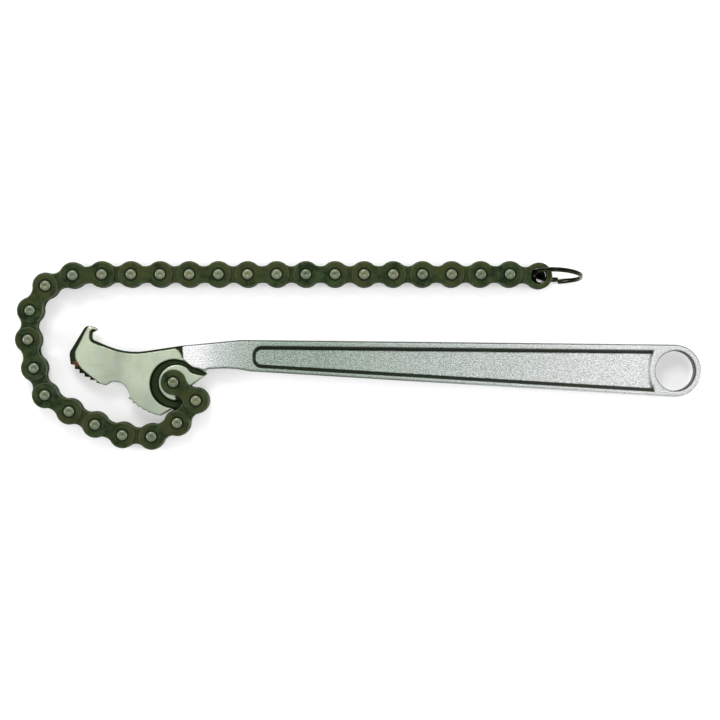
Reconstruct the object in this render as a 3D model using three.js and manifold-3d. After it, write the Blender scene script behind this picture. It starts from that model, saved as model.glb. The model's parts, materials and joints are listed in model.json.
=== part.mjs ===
// A chain wrench of the 12-inch class, lying flat on a table, in millimetres, +Z up.
//
// One forging makes the head, the neck and the I-section handle. A 28-pitch roller chain
// of 15.875 mm pitch is pinned to the head and lies in a loop round the head's nose, with
// its straight tail above the handle. A split ring hangs in the chain's last plates.
// The plan is drawn with the anchor pin at (0, 0), the handle running along +X and the
// middle plane of forging and chain at z = 0. The finished object is then moved so that
// its origin is the middle of its footprint, on the surface it lies on.

import * as THREE from 'three';
import { mergeVertices } from 'three/addons/utils/BufferGeometryUtils.js';
import Module from 'manifold-3d';

const wasm = await Module();
wasm.setup();

// ---------------------------------------------------------------- driving dimensions

// Roller chain, 5/8 inch pitch. Heights are measured from the middle plane.
const PITCH = 15.875;
const LINK_COUNT = 28;
const INNER_PLATE_BOTTOM = 4.7;
const PLATE_THICKNESS = 2.4;
const PLATE_GAP = 0.3;
const OUTER_PLATE_BOTTOM = INNER_PLATE_BOTTOM + PLATE_THICKNESS + PLATE_GAP;
const PIN_HALF_LENGTH = 10.7;
const PIN_RADIUS = 2.54;
const PIN_HOLE_RADIUS = 2.95;
const BUSHING_RADIUS = 3.55;
const BUSHING_BORE_RADIUS = 3.0;
const RING_HOLE_RADIUS = 4.3;
const PIN_SIDES = 10;
const RING_HOLE_SIDES = 16;
const OUTER_END_RADIUS = 6.95;
const INNER_END_RADIUS = 7.3;
const PLATE_WAIST = 8.8;

// How the chain is laid: the first link's heading, and the clockwise bend at each of the
// next pins, in whole degrees. The links after them run straight, and the last one droops.
const FIRST_HEADING = -39;
const LOOP_BENDS = [91, 22, 31, 18, 6, 7, 34, 10, 16, 28, 37, 19, 2];
const LAST_LINK_BEND = 3;

// Split ring in the last link's free holes: a flat wire, wider along the ring's axis. Its
// centre lies past the hole, beside it and above it; it leans, and its axis is turned.
const RING_RADIUS = 13.2;
const RING_RADIAL_HALF = 0.9;
const RING_AXIAL_HALF = 1.3;
const RING_REACH = 10.4;
const RING_SIDE_SHIFT = 0.5;
const RING_RISE = 3.15;
const RING_LEAN = 12;
const RING_TURN = -4;
const RING_WIRE_SIDES = 8;
const RING_STEPS = 28;

// Forging: half thicknesses, from the middle plane.
const HEAD_HALF = 7.0;
const NOSE_HALF = 4.5;
const HANDLE_HALF = 8.0;
const HANDLE_EDGE_BEVEL = 1.0;
const TAPER_START_X = -24;
const TAPER_END_X = -40;
const NOSE_BEVEL_WIDTH = 3.0;
const NOSE_BEVEL_DEPTH = 2.2;

// Relief groove round the anchor pin.
const GROOVE_CENTRE = [0.8, -0.6];
const GROOVE_INNER_RADIUS = 8.9;
const GROOVE_OUTER_RADIUS = 13.6;
const GROOVE_SLOPE = 1.2;
const GROOVE_DEPTH = 1.8;
const GROOVE_SIDES = 40;
const ANCHOR_BORE_RADIUS = 3.05;

// Teeth: the front ones are stairs, the heel ones a fading saw edge.
const FRONT_TOOTH_COUNT = 5;
const FRONT_TOOTH_START = [-56.4, 9.7];
const FRONT_TREAD = 2.2;
const FRONT_TREAD_GROWTH = 0.3;
const FRONT_TREAD_DROP = 0.3;
const FRONT_RISER = 2.2;
const FRONT_RISER_LOSS = 0.25;
const HEEL_TOOTH_COUNT = 6;
const HEEL_TOOTH_PITCH = 3.35;
const HEEL_TOOTH_DEPTH = 1.1;
const HEEL_ARC_CENTRE = [-1.6, 13.5];
const HEEL_ARC_RADIUS = 32.4;
const HEEL_ARC_START = 225.1;
const HEEL_TOOTH_RUN = 0.25;

// Handle: straight edges that run into a round end with a hanging hole.
const NECK_TOP_LEFT = [4.4, 20.0];
const NECK_TOP_MIDDLE = [24, 22.4];
const HANDLE_TOP_LEFT = [36.5, 23.1];
const HANDLE_BOTTOM_LEFT = [41.9, 5.8];
const END_CENTRE = [273.4, 6.15];
const END_RADIUS = 14.4;
const HANGING_HOLE_RADIUS = 10.8;
const HOLE_SIDES = 24;
const PANEL_LEFT = 43.1;
const PANEL_END_CENTRE = [285.6, 6.6];
const PANEL_END_RADIUS = 25.3;
const PANEL_TOP_RIM = 3.1;
const PANEL_BOTTOM_RIM = 2.1;
const PANEL_CORNER_RADIUS = 5.2;
const PANEL_WALL_WIDTH = 2.1;
const PANEL_DEPTH = 3.2;

// How far the shapes that only cut or trim reach past the forging, in plan and in height.
const CUT_REACH = 60;
const CUT_HEIGHT = 20;

// ---------------------------------------------------------------- materials

const MATERIALS = {
  forging: new THREE.MeshStandardMaterial({ color: 0xc3c9c4, roughness: 0.35, metalness: 1.0 }),
  plate: new THREE.MeshStandardMaterial({ color: 0x4a5638, roughness: 0.45, metalness: 0.9 }),
  pin: new THREE.MeshStandardMaterial({ color: 0x7d8c78, roughness: 0.35, metalness: 1.0 }),
  ring: new THREE.MeshStandardMaterial({ color: 0x2a3326, roughness: 0.3, metalness: 1.0 }),
};

// ---------------------------------------------------------------- outlines and solids

const radians = THREE.MathUtils.degToRad;
const degrees = THREE.MathUtils.radToDeg;

function arc(centreX, centreY, radius, startDegrees, endDegrees, steps) {
  const points = [];
  for (let i = 0; i <= steps; i += 1) {
    const angle = radians(startDegrees + (endDegrees - startDegrees) * i / steps);
    const x = centreX + radius * Math.cos(angle);
    const y = centreY + radius * Math.sin(angle);
    points.push(new THREE.Vector2(x, y));
  }
  return points;
}

function round(centreX, centreY, radius, sides) {
  return arc(centreX, centreY, radius, 0, 360 * (sides - 1) / sides, sides - 1);
}

// A closed outline from [x, y, radius] corners: a corner with a radius becomes an arc.
function roundedOutline(corners, degreesPerStep = 15) {
  const points = [];
  corners.forEach(([x, y, radius], index) => {
    const corner = new THREE.Vector2(x, y);
    if (!radius) {
      points.push(corner);
      return;
    }
    const [beforeX, beforeY] = corners[(index + corners.length - 1) % corners.length];
    const [afterX, afterY] = corners[(index + 1) % corners.length];
    const toBefore = new THREE.Vector2(beforeX - x, beforeY - y).normalize();
    const toAfter = new THREE.Vector2(afterX - x, afterY - y).normalize();
    const halfAngle = Math.acos(toBefore.dot(toAfter)) / 2;
    const tangent = radius / Math.tan(halfAngle);
    const middle = toBefore.clone().add(toAfter).normalize();
    const centre = corner.clone().addScaledVector(middle, radius / Math.sin(halfAngle));
    const start = corner.clone().addScaledVector(toBefore, tangent).sub(centre);
    const end = corner.clone().addScaledVector(toAfter, tangent).sub(centre);
    const turn = Math.atan2(start.cross(end), start.dot(end));
    const steps = Math.max(2, Math.round(Math.abs(turn) / radians(degreesPerStep)));
    for (let i = 0; i <= steps; i += 1) {
      const spoke = start.clone().rotateAround(new THREE.Vector2(), turn * i / steps);
      points.push(centre.clone().add(spoke));
    }
  });
  return points;
}

function prism(points, bottom, top, holes = []) {
  const shape = new THREE.Shape(points);
  holes.forEach((hole) => shape.holes.push(new THREE.Path(hole)));
  const geometry = new THREE.ExtrudeGeometry(shape, { depth: top - bottom, bevelEnabled: false });
  return geometry.translate(0, 0, bottom);
}

// A prism whose two rims are chamfered: the flat faces are smaller by the bevel's width.
function bevelledPrism(points, half, bevelWidth, bevelDepth, offset) {
  const geometry = new THREE.ExtrudeGeometry(new THREE.Shape(points), {
    depth: 2 * (half - bevelDepth),
    bevelEnabled: true,
    bevelSegments: 1,
    bevelSize: bevelWidth,
    bevelThickness: bevelDepth,
    bevelOffset: offset,
  });
  return geometry.translate(0, 0, bevelDepth - half);
}

function solid(geometry) {
  const bare = geometry.clone();
  bare.deleteAttribute('normal');
  bare.deleteAttribute('uv');
  const merged = mergeVertices(bare, 1e-4);
  return new wasm.Manifold(new wasm.Mesh({
    numProp: 3,
    vertProperties: new Float32Array(merged.attributes.position.array),
    triVerts: new Uint32Array(merged.index.array),
  }));
}

function geometryOf(manifold) {
  const mesh = manifold.getMesh();
  const geometry = new THREE.BufferGeometry();
  geometry.setAttribute('position', new THREE.BufferAttribute(mesh.vertProperties, 3));
  geometry.setIndex(new THREE.BufferAttribute(mesh.triVerts, 1));
  geometry.computeVertexNormals();
  return geometry;
}

function namedMesh(name, geometry, material) {
  const mesh = new THREE.Mesh(geometry, material);
  mesh.name = name;
  return mesh;
}

// ---------------------------------------------------------------- forging

function frontTeeth() {
  const points = [];
  let [x, y] = FRONT_TOOTH_START;
  for (let tooth = 0; tooth < FRONT_TOOTH_COUNT; tooth += 1) {
    points.push([x, y, 0]);
    x += FRONT_TREAD + FRONT_TREAD_GROWTH * tooth;
    y -= FRONT_TREAD_DROP;
    points.push([x, y, 0]);
    y -= FRONT_RISER - FRONT_RISER_LOSS * tooth;
  }
  points.push([x, y, 0]);
  return points;
}

function heelTeeth() {
  const points = [];
  const stepDegrees = degrees(HEEL_TOOTH_PITCH / HEEL_ARC_RADIUS);
  for (let tooth = 0; tooth < HEEL_TOOTH_COUNT; tooth += 1) {
    const tipAngle = HEEL_ARC_START + stepDegrees * tooth;
    const depth = HEEL_TOOTH_DEPTH * (1 - tooth / HEEL_TOOTH_COUNT);
    const [tip] = arc(...HEEL_ARC_CENTRE, HEEL_ARC_RADIUS, tipAngle, tipAngle, 1);
    const rootAngle = tipAngle + HEEL_TOOTH_RUN * stepDegrees;
    const [root] = arc(...HEEL_ARC_CENTRE, HEEL_ARC_RADIUS - depth, rootAngle, rootAngle, 1);
    points.push([tip.x, tip.y, 0]);
    points.push([root.x, root.y, 0]);
  }
  return points;
}

function headOutline() {
  const topAndHook = [
    [12, 21.1, 0],
    [NECK_TOP_LEFT[0], NECK_TOP_LEFT[1], 0],
    [-25.8, 15.5, 38],
    [-44.5, 23.4, 2.2],
    [-44.2, 27.2, 0.9],
    [-39.9, 28.9, 0.9],
    [-47.8, 31.6, 3.5],
    [-57.3, 15.9, 5],
  ];
  const lobeAndNotch = [
    [-37.0, -1.9, 2.5],
    [-33.8, 0.15, 3],
    [-24.9, 0.15, 7.6],
  ];
  const heelAndTip = [
    [-7.2, -18.4, 1.5],
    [-1.3, -14.9, 1],
    [2.0, -13.9, 0.8],
    [4.4, -10.3, 1.5],
    [4.6, -5.5, 1.5],
    [7.6, -3.4, 0],
    [18.3, 4.4, 0],
    [15.0, 7.3, 0],
    [20, 12, 0],
  ];
  return roundedOutline([
    ...topAndHook, ...frontTeeth(), ...lobeAndNotch, ...heelTeeth(), ...heelAndTip,
  ]);
}

// The head seen from the front edge: full thickness at the pin, thin at the nose.
function headTaper() {
  const upper = [
    [CUT_REACH, HEAD_HALF], [TAPER_START_X, HEAD_HALF], [TAPER_END_X, NOSE_HALF],
    [-CUT_REACH, NOSE_HALF],
  ];
  const lower = upper.map(([x, z]) => [x, -z]).reverse();
  const points = [...upper, ...lower].map(([x, z]) => new THREE.Vector2(x, z));
  return prism(points, -CUT_REACH, CUT_REACH).rotateX(Math.PI / 2);
}

// A slab wider than the head all round but at the nose, where its chamfer trims both rims.
function noseEnvelope() {
  const points = roundedOutline([
    [-32.4, CUT_REACH, 0], [-54.2, 17.4, 4], [-53.9, 12.8, 6], [-50.6, 7.4, 10], [-38.8, -1.6, 0],
    [-9.5, -CUT_REACH, 0], [CUT_REACH, -CUT_REACH, 0], [CUT_REACH, CUT_REACH, 0],
  ]);
  return bevelledPrism(points, NOSE_HALF, NOSE_BEVEL_WIDTH, NOSE_BEVEL_DEPTH, 0);
}

// Everything on the nose's side of the taper's end.
function noseRegion() {
  const beyond = TAPER_END_X - CUT_REACH;
  const corners = [
    [beyond, CUT_REACH], [beyond, -CUT_REACH], [TAPER_END_X, -CUT_REACH], [TAPER_END_X, CUT_REACH],
  ];
  return prism(corners.map(([x, y]) => new THREE.Vector2(x, y)), -CUT_HEIGHT, CUT_HEIGHT);
}

// The groove goes round the pin and runs out along the neck's foot to the rear tip.
function grooveCutter() {
  const floor = HEAD_HALF - GROOVE_DEPTH;
  const top = HEAD_HALF + GROOVE_DEPTH / 3;
  const spread = GROOVE_SLOPE * (top - floor) / GROOVE_DEPTH;
  const profile = [
    new THREE.Vector2(GROOVE_INNER_RADIUS + GROOVE_SLOPE, floor),
    new THREE.Vector2(GROOVE_OUTER_RADIUS - GROOVE_SLOPE, floor),
    new THREE.Vector2(GROOVE_OUTER_RADIUS - GROOVE_SLOPE + spread, top),
    new THREE.Vector2(GROOVE_INNER_RADIUS + GROOVE_SLOPE - spread, top),
  ];
  profile.push(profile[0].clone());
  const ring = new THREE.LatheGeometry(profile, GROOVE_SIDES).rotateX(Math.PI / 2);
  ring.translate(GROOVE_CENTRE[0], GROOVE_CENTRE[1], 0);
  const runOut = prism(roundedOutline([
    [5, 13.5, 0], [8.6, 9.2, 0], [14.8, 6.6, 0], [22, 3.6, 0], [22, 1.6, 0],
    [12, 3.9, 0], [8.6, 5.4, 0], [6.4, 7.2, 0],
  ]), floor, top);
  return solid(ring).add(solid(runOut));
}

function mirroredInZ(manifold) {
  return manifold.mirror([0, 0, 1]);
}

function head() {
  const bore = prism(round(0, 0, ANCHOR_BORE_RADIUS, HOLE_SIDES), -CUT_HEIGHT, CUT_HEIGHT);
  const blank = solid(prism(headOutline(), -HEAD_HALF, HEAD_HALF)).intersect(solid(headTaper()));
  const nose = blank.intersect(solid(noseRegion())).intersect(solid(noseEnvelope()));
  const body = blank.subtract(solid(noseRegion()));
  const groove = grooveCutter();
  return nose.add(body).subtract(groove).subtract(mirroredInZ(groove)).subtract(solid(bore));
}

// The slope of a straight edge of the handle: side is 1 for the top edge, -1 for the bottom.
function edgeSlope([x, y], side) {
  return (END_CENTRE[1] + side * END_RADIUS - y) / (END_CENTRE[0] - x);
}

function handleOutline() {
  const bottomTurn = degrees(Math.atan(edgeSlope(HANDLE_BOTTOM_LEFT, -1)));
  const topTurn = degrees(Math.atan(edgeSlope(HANDLE_TOP_LEFT, 1)));
  const neckBottom = roundedOutline([
    [5.4, 12.4, 0], [8.9, 8.9, 6], [15.0, 7.0, 0], [32, 7.6, 50], HANDLE_BOTTOM_LEFT,
  ]);
  const end = arc(...END_CENTRE, END_RADIUS, -90 + bottomTurn, 90 + topTurn, HOLE_SIDES);
  const topCorners = [HANDLE_TOP_LEFT, NECK_TOP_MIDDLE, NECK_TOP_LEFT];
  const top = topCorners.map(([x, y]) => new THREE.Vector2(x, y));
  return [...neckBottom, ...end, ...top];
}

// The floor of the recessed panel; its sloping wall widens it by PANEL_WALL_WIDTH.
function panelCutter() {
  const left = PANEL_LEFT + PANEL_WALL_WIDTH;
  const straightFrom = left + PANEL_CORNER_RADIUS;
  const [topX, topY] = HANDLE_TOP_LEFT;
  const [bottomX, bottomY] = HANDLE_BOTTOM_LEFT;
  const [endX, endY] = PANEL_END_CENTRE;
  const topInset = PANEL_TOP_RIM + PANEL_WALL_WIDTH;
  const bottomInset = PANEL_BOTTOM_RIM + PANEL_WALL_WIDTH;
  const topAt = (x) => topY + edgeSlope(HANDLE_TOP_LEFT, 1) * (x - topX) - topInset;
  const bottomAt = (x) => bottomY + edgeSlope(HANDLE_BOTTOM_LEFT, -1) * (x - bottomX) + bottomInset;
  const endArcRadius = PANEL_END_RADIUS + PANEL_WALL_WIDTH;
  const nearEnd = endX - endArcRadius;
  const angleAt = (edge) => {
    const rise = edge(nearEnd) - endY;
    return 180 - degrees(Math.asin(rise / endArcRadius));
  };
  const leftEnd = roundedOutline([
    [straightFrom, topAt(straightFrom), 0],
    [left, topAt(left), PANEL_CORNER_RADIUS - PANEL_WALL_WIDTH],
    [left, bottomAt(left), PANEL_CORNER_RADIUS - PANEL_WALL_WIDTH],
    [straightFrom, bottomAt(straightFrom), 0],
  ], 30);
  const concaveEnd = arc(endX, endY, endArcRadius, angleAt(bottomAt), angleAt(topAt), 8);
  const geometry = new THREE.ExtrudeGeometry(new THREE.Shape([...leftEnd, ...concaveEnd]), {
    depth: PANEL_DEPTH,
    bevelEnabled: true,
    bevelSegments: 1,
    bevelSize: PANEL_WALL_WIDTH,
    bevelThickness: PANEL_DEPTH,
  });
  return solid(geometry.translate(0, 0, HANDLE_HALF));
}

function handle() {
  const bar = bevelledPrism(
    handleOutline(), HANDLE_HALF, HANDLE_EDGE_BEVEL, HANDLE_EDGE_BEVEL, -HANDLE_EDGE_BEVEL,
  );
  const panel = panelCutter();
  const hole = prism(round(...END_CENTRE, HANGING_HOLE_RADIUS, HOLE_SIDES), -CUT_HEIGHT, CUT_HEIGHT);
  return solid(bar).subtract(panel).subtract(mirroredInZ(panel)).subtract(solid(hole));
}

// ---------------------------------------------------------------- chain

// A figure-of-eight plate outline from pin (0, 0) to pin (PITCH, 0).
function plateOutline(endRadius) {
  const half = PITCH / 2;
  const waistHalf = PLATE_WAIST / 2;
  const waistRadius = (half ** 2 + waistHalf ** 2 - endRadius ** 2)
    / (2 * (endRadius - waistHalf));
  const waistCentre = waistHalf + waistRadius;
  const touch = degrees(Math.atan2(waistCentre, half));
  return [
    ...arc(0, 0, endRadius, touch, 360 - touch, 7),
    ...arc(half, -waistCentre, waistRadius, 180 - touch, touch, 2).slice(1, -1),
    ...arc(PITCH, 0, endRadius, touch - 180, 180 - touch, 7),
    ...arc(half, waistCentre, waistRadius, -touch, touch - 180, 2).slice(1, -1),
  ];
}

function plate(endRadius, bottom, holeRadii) {
  const holes = holeRadii.map((radius, index) => {
    const sides = radius === RING_HOLE_RADIUS ? RING_HOLE_SIDES : PIN_SIDES;
    return round(index * PITCH, 0, radius, sides).reverse();
  });
  return prism(plateOutline(endRadius), bottom, bottom + PLATE_THICKNESS, holes);
}

function pin(x) {
  return prism(round(x, 0, PIN_RADIUS, PIN_SIDES), -PIN_HALF_LENGTH, PIN_HALF_LENGTH);
}

// The first link's plate is bored at the anchor, because its pin there is a separate piece.
function pinnedPlate(pinPlaces, holeRadii) {
  let manifold = solid(plate(OUTER_END_RADIUS, -OUTER_PLATE_BOTTOM - PLATE_THICKNESS, holeRadii));
  pinPlaces.forEach((x) => {
    manifold = manifold.add(solid(pin(x)));
  });
  return geometryOf(manifold);
}

function bushedPlate(bushingPlaces, holeRadii) {
  let manifold = solid(plate(INNER_END_RADIUS, -INNER_PLATE_BOTTOM - PLATE_THICKNESS, holeRadii));
  const bottom = -INNER_PLATE_BOTTOM - PLATE_THICKNESS / 2;
  const top = INNER_PLATE_BOTTOM - PLATE_GAP;
  bushingPlaces.forEach((x) => {
    const bore = round(x, 0, BUSHING_BORE_RADIUS, PIN_SIDES).reverse();
    const tube = prism(round(x, 0, BUSHING_RADIUS, PIN_SIDES), bottom, top, [bore]);
    manifold = manifold.add(solid(tube));
  });
  return geometryOf(manifold);
}

function outerLink(number) {
  const link = new THREE.Group();
  const isFirst = number === 1;
  const holes = [PIN_HOLE_RADIUS, PIN_HOLE_RADIUS];
  const cover = plate(OUTER_END_RADIUS, OUTER_PLATE_BOTTOM, holes);
  const pinned = isFirst ? pinnedPlate([PITCH], [PIN_HOLE_RADIUS]) : pinnedPlate([0, PITCH], []);
  if (isFirst) link.add(namedMesh('anchor_pin', pin(0), MATERIALS.pin));
  link.add(namedMesh(`outer_link_${number}_pinned_plate`, pinned, MATERIALS.plate));
  link.add(namedMesh(`outer_link_${number}_cover_plate`, cover, MATERIALS.plate));
  return link;
}

function innerLink(number, isLast) {
  const link = new THREE.Group();
  const bushings = isLast ? [0] : [0, PITCH];
  const farHole = isLast ? RING_HOLE_RADIUS : BUSHING_BORE_RADIUS;
  const holes = [BUSHING_BORE_RADIUS, farHole];
  const upper = plate(INNER_END_RADIUS, INNER_PLATE_BOTTOM, holes);
  const bushed = bushedPlate(bushings, holes);
  link.add(namedMesh(`inner_link_${number}_bushed_plate`, bushed, MATERIALS.plate));
  link.add(namedMesh(`inner_link_${number}_plate`, upper, MATERIALS.plate));
  return link;
}

function headingOf(index) {
  const bends = LOOP_BENDS.slice(0, index).reduce((sum, bend) => sum + bend, 0);
  const droop = index === LINK_COUNT - 1 ? LAST_LINK_BEND : 0;
  return FIRST_HEADING - bends - droop;
}

function splitRing(lastPin) {
  const geometry = new THREE.TorusGeometry(RING_RADIUS, RING_RADIAL_HALF, RING_WIRE_SIDES, RING_STEPS);
  geometry.scale(1, 1, RING_AXIAL_HALF / RING_RADIAL_HALF);
  geometry.rotateX(Math.PI / 2 - radians(RING_LEAN));
  geometry.rotateZ(radians(RING_TURN));
  geometry.translate(RING_REACH, RING_SIDE_SHIFT, RING_RISE);
  const ring = namedMesh('tail_ring', geometry, MATERIALS.ring);
  ring.position.copy(lastPin);
  return ring;
}

function chain() {
  const group = new THREE.Group();
  const pin = new THREE.Vector3();
  for (let index = 0; index < LINK_COUNT; index += 1) {
    const number = Math.floor(index / 2) + 1;
    const heading = radians(headingOf(index));
    const isLast = index === LINK_COUNT - 1;
    const link = index % 2 === 0 ? outerLink(number) : innerLink(number, isLast);
    link.position.copy(pin);
    link.rotation.z = heading;
    group.add(link);
    pin.x += PITCH * Math.cos(heading);
    pin.y += PITCH * Math.sin(heading);
  }
  group.add(splitRing(pin));
  return group;
}

// ---------------------------------------------------------------- assembly

const wrench = new THREE.Group();
wrench.add(namedMesh('wrench_handle', geometryOf(handle().add(head())), MATERIALS.forging));
wrench.add(chain());

const box = new THREE.Box3().setFromObject(wrench, true);
const middle = box.getCenter(new THREE.Vector3());
wrench.position.set(-middle.x, -middle.y, -box.min.z);

const chainWrench = new THREE.Group();
chainWrench.add(wrench);

export default chainWrench;
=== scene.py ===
"""A chain wrench lying flat: a plated forging with a ground head, a roller chain and a split ring.

Sizes are in millimetres, measured from the anchor pin's axis in plan and from the middle
plane of forging and chain in height. MM turns them into Blender's metres at the end.
"""
import json
import math

import bmesh
import bpy
import numpy as np
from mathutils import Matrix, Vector
from mathutils.geometry import delaunay_2d_cdt


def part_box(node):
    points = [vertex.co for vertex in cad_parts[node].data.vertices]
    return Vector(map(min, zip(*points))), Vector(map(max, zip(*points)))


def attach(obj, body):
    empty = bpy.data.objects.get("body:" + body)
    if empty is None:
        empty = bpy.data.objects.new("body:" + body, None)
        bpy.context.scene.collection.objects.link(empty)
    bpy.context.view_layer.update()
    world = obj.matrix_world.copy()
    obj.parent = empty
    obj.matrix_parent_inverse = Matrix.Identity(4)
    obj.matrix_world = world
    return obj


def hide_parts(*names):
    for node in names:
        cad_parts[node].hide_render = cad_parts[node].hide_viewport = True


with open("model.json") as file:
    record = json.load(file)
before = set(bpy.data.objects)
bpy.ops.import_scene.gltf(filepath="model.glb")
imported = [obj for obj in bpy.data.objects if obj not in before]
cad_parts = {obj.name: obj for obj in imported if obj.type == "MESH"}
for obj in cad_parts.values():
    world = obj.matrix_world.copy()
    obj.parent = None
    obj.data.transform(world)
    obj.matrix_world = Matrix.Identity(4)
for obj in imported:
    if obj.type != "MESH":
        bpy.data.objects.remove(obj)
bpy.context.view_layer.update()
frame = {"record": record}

MM = 0.001

# ------------------------------------------------------------------ driving dimensions

# Chain.
PITCH = 15.875
INNER_PLATE_BOTTOM = 4.7
OUTER_PLATE_BOTTOM = 7.4
PLATE_THICKNESS = 2.4
OUTER_END_RADIUS = 6.95
INNER_END_RADIUS = 7.3
PLATE_WAIST = 8.8
PLATE_EDGE = 0.45
PLATE_COUNTERSINK = 0.25
PLATE_END_STEPS = 26
PLATE_WAIST_STEPS = 8
PIN_RADIUS = 2.54
PIN_HEAD_RADIUS = 2.85
PIN_HALF_LENGTH = 10.65
BUSHING_RADIUS = 3.55
BUSHING_BORE_RADIUS = 2.7
RING_HOLE_RADIUS = 4.3
# The ring's wire slants through the last link, and clears the lower plate only in a wider
# hole than the CAD solid has.
LOWER_RING_HOLE_RADIUS = 4.85
ROLLER_RADIUS = 5.08
ROLLER_HALF_LENGTH = 4.5
# Turned parts: facets round them, and the hairline gap between parts that fit each other.
TURNED_SEGMENTS = 36
HAIRLINE = 0.02

# Split ring: two coils of oval wire. It leans sideways and is turned in plan, in degrees.
RING_RADIUS = 12.95
RING_WIRE_AXIAL = 1.28
RING_WIRE_RADIAL = 1.65
RING_LEAN = 12
RING_TURN = -4
# Where both ends of the wire are, how far they spring outwards as a share of the wire's
# width, and the shares of its length between which it settles and changes sides.
RING_CUT_ANGLE = 274
RING_END_SPRING = 0.35
RING_SETTLING = (0, 0.05)
RING_CROSSING = (0.465, 0.535)
RING_SPRINGING = (0.95, 1)
RING_STEPS = 220
RING_SECTION_SIDES = 12
# A thin dark washer low in the last hole, put there as painted shade: it hides the floor seen
# through the hole. It moves with the ring, and its bore (x, y, radius) is to one side, where the wire
# passes.
WASHER_RADIUS = 4.2
WASHER_BORE = (0.97, -1.42, 1.9)
WASHER_BOTTOM = -6.15
WASHER_TOP = -5.65
WASHER_SEGMENTS = 40

# Forging: half thicknesses, then its edges, bevels, groove, teeth and handle.
HEAD_HALF = 7.0
NOSE_HALF = 4.5
HANDLE_HALF = 8.0
TAPER_START_X = -24
TAPER_END_X = -40
DRAFT = 0.25
EDGE_RADIUS = 0.9
NOSE_BEVEL_WIDTH = 3.0
NOSE_BEVEL_DEPTH = 2.0
TOP_BEVEL_WIDTH = 1.3
HOOK_BEVEL_WIDTH = 1.7
TOP_BEVEL_DEPTH = 0.8
GROOVE_OUTER_CENTRE = (0.4, -0.9)
GROOVE_OUTER_RADIUS = 13.5
GROOVE_INNER_CENTRE = (1.87, -0.17)
GROOVE_INNER_RADIUS = 9.6
GROOVE_ANGLES = (305, 48)
# How the groove runs out along the neck: its middle line, and its half width at each point.
GROOVE_RUN_OUT = ((10.3, 6.6), (12.5, 5.9), (15.0, 5.1), (17.0, 4.5), (18.4, 4.2))
GROOVE_RUN_OUT_WIDTHS = (1.6, 1.6, 1.5, 1.0, 0.3)
GROOVE_DEPTH = 1.8
ANCHOR_BORE_RADIUS = 3.05
FRONT_TOOTH_COUNT = 5
FRONT_TOOTH_START = (-56.4, 9.7)
FRONT_TREAD = 2.2
FRONT_TREAD_GROWTH = 0.3
FRONT_TREAD_DROP = 0.3
FRONT_RISER = 2.2
FRONT_RISER_LOSS = 0.25
HEEL_TOOTH_COUNT = 6
HEEL_TOOTH_PITCH = 3.35
HEEL_TOOTH_DEPTH = 1.1
HEEL_ARC_CENTRE = (-1.6, 13.5)
HEEL_ARC_RADIUS = 32.4
HEEL_ARC_START = 225.1
HEEL_TOOTH_RUN = 0.25
NECK_TOP_LEFT = (4.4, 20.0)
HANDLE_TOP_LEFT = (36.5, 23.1)
HANDLE_BOTTOM_LEFT = (41.9, 5.8)
END_CENTRE = (273.4, 6.15)
END_RADIUS = 14.4
HANGING_HOLE_RADIUS = 10.8
PANEL_LEFT = 43.1
PANEL_END_CENTRE = (285.6, 6.6)
PANEL_END_RADIUS = 25.3
PANEL_TOP_RIM = 3.1
PANEL_BOTTOM_RIM = 2.1
PANEL_CORNER_RADIUS = 5.2
PANEL_WALL_WIDTH = 2.1
LEFT_BAND_WIDTH = 1.6
PANEL_DEPTH = 3.2

# Painted sheen along the handle: how much lighter its plating is painted, as (place, share) pairs.
PAINTED_SHEEN_ALONG = (
    (12, 1.0), (18, 0.75), (23, 0.46), (35, 0.17), (50, 0.0),
    (85, 0.0), (110, 0.12), (188, 0.42), (254, 0.78), (264, 0.68),
)
# The ground head is darker towards its heel: where that is complete, and where it starts.
HEEL_FADE = (-14, 6)
# How dark the upright sides are, as unplated forging and painted shade: round the outside, in the
# hanging hole, in the anchor bore.
SIDE_DARKNESS = (0.3, 0.85, 0.9)
# How much darker the sides are below ground faces than below plated ones.
GROUND_SIDE_DARKNESS = 0.55
# How far the heel's parting line stands out between the second link's plates.
HEEL_BULGE = 0.9
# A small rust stain on the nose: its centre, and where it starts and stops fading.
RUST_CENTRE = (-53.7, 9.9)
RUST_FADE = (0.8, 2.4)

# Camera: straight above, far enough away to be nearly free of perspective.
VIEW_CENTRE = (101.7, 12.1)
VIEW_WIDTH = 391.5
CAMERA_HEIGHT = 2000

# Stage, in metres: half the floor's side, the lights as (name, place, width, power), the rest.
FLOOR_HALF_SIDE = 6.0
FLOOR_EMISSION = 0.33
LIGHTS = (
    ("overhead", (0, 0, 3.3), 3.0, 13),
    ("key", (-0.35, 1.3, 2.4), 0.9, 19),
    ("left", (-1.6, 0, 1.1), 0.7, 8),
    ("right", (1.6, 0, 1.1), 0.7, 8),
)
WORLD_STRENGTH = 0.62

# ------------------------------------------------------------------ the frame's places


def centre_of(node):
    low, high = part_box(node)
    return (Vector(low) + Vector(high)) / 2


ANCHOR = centre_of("anchor_pin")
joints = {joint["child"]: joint for joint in frame["record"]["behaviour"]["joints"]}
LINK_BODIES = sorted(body for body in joints if body.startswith("link_"))
PINS = [Vector(joints[body]["pos_m"]) for body in LINK_BODIES + ["tail_ring"]]


def placed(points, origin=ANCHOR, heading=0.0):
    """Moves millimetre points to their place in the row frame, in metres."""
    cosine, sine = math.cos(heading), math.sin(heading)
    turned = np.array(points, dtype=float)
    x, y = turned[:, 0].copy(), turned[:, 1].copy()
    turned[:, 0] = x * cosine - y * sine
    turned[:, 1] = x * sine + y * cosine
    return turned * MM + np.array(origin)


# ------------------------------------------------------------------ outlines


def arc(centre, radius, start, end, steps):
    angles = np.radians(np.linspace(start, end, steps + 1))
    return [(centre[0] + radius * math.cos(a), centre[1] + radius * math.sin(a)) for a in angles]


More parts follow.
